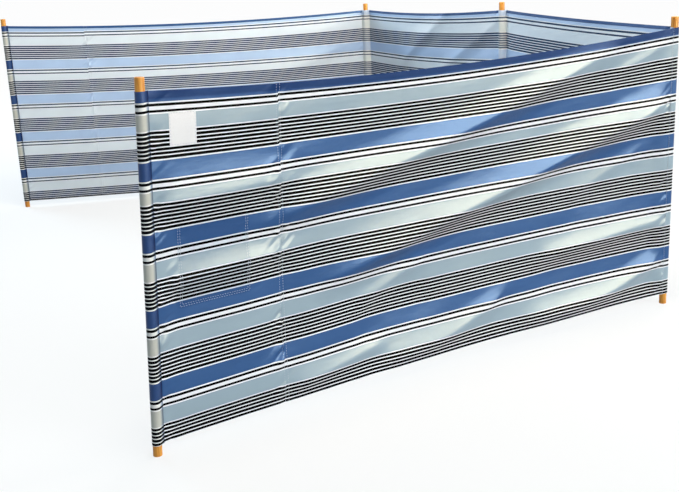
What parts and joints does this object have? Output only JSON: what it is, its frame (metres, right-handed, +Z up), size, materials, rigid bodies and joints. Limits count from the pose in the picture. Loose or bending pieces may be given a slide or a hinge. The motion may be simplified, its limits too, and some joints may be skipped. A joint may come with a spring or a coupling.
{
  "type": "beach windbreak",
  "caption": "Striped cloth beach windbreak in bays, hung on round wooden poles in sewn sleeves, with two long wings folded round the sheltered side.",
  "frame": {"origin": "centre of the middle pole's foot, at ground level", "axes": "+Z up; +X along the back of the row, from the left corner to the right corner; the shelter opens towards -Y"},
  "size_m": [3.2263, 2.045, 1.0099],
  "materials": {
    "wood": "smooth varnished softwood dowel",
    "striped_cloth": "satin woven polyester, printed with horizontal stripes",
    "sleeve_cloth": "satin woven polyester, doubled and stitched",
    "hem_cloth": "satin woven polyester, turned and stitched",
    "label_cloth": "plain white woven label"
  },
  "bodies": {
    "root": {"left_end_pole": "wood", "left_corner_pole": "wood", "middle_pole": "wood", "right_corner_pole": "wood", "right_end_pole": "wood", "left_end_sleeve": "sleeve_cloth", "left_corner_sleeve": "sleeve_cloth", "middle_sleeve": "sleeve_cloth", "right_corner_sleeve": "sleeve_cloth", "right_end_sleeve": "sleeve_cloth", "left_wing_end_cloth": "striped_cloth", "left_wing_cloth": "striped_cloth", "left_back_cloth": "striped_cloth", "right_back_cloth": "striped_cloth", "right_wing_cloth": "striped_cloth", "right_wing_end_cloth": "striped_cloth", "left_wing_join": "hem_cloth", "right_wing_join": "hem_cloth", "left_wing_top_hem": "hem_cloth", "left_back_top_hem": "hem_cloth", "right_back_top_hem": "hem_cloth", "right_wing_top_hem": "hem_cloth", "left_wing_bottom_hem": "hem_cloth", "left_back_bottom_hem": "hem_cloth", "right_back_bottom_hem": "hem_cloth", "right_wing_bottom_hem": "hem_cloth", "label_patch": "label_cloth", "pocket_panel": "striped_cloth"}
  },
  "joints": []
}
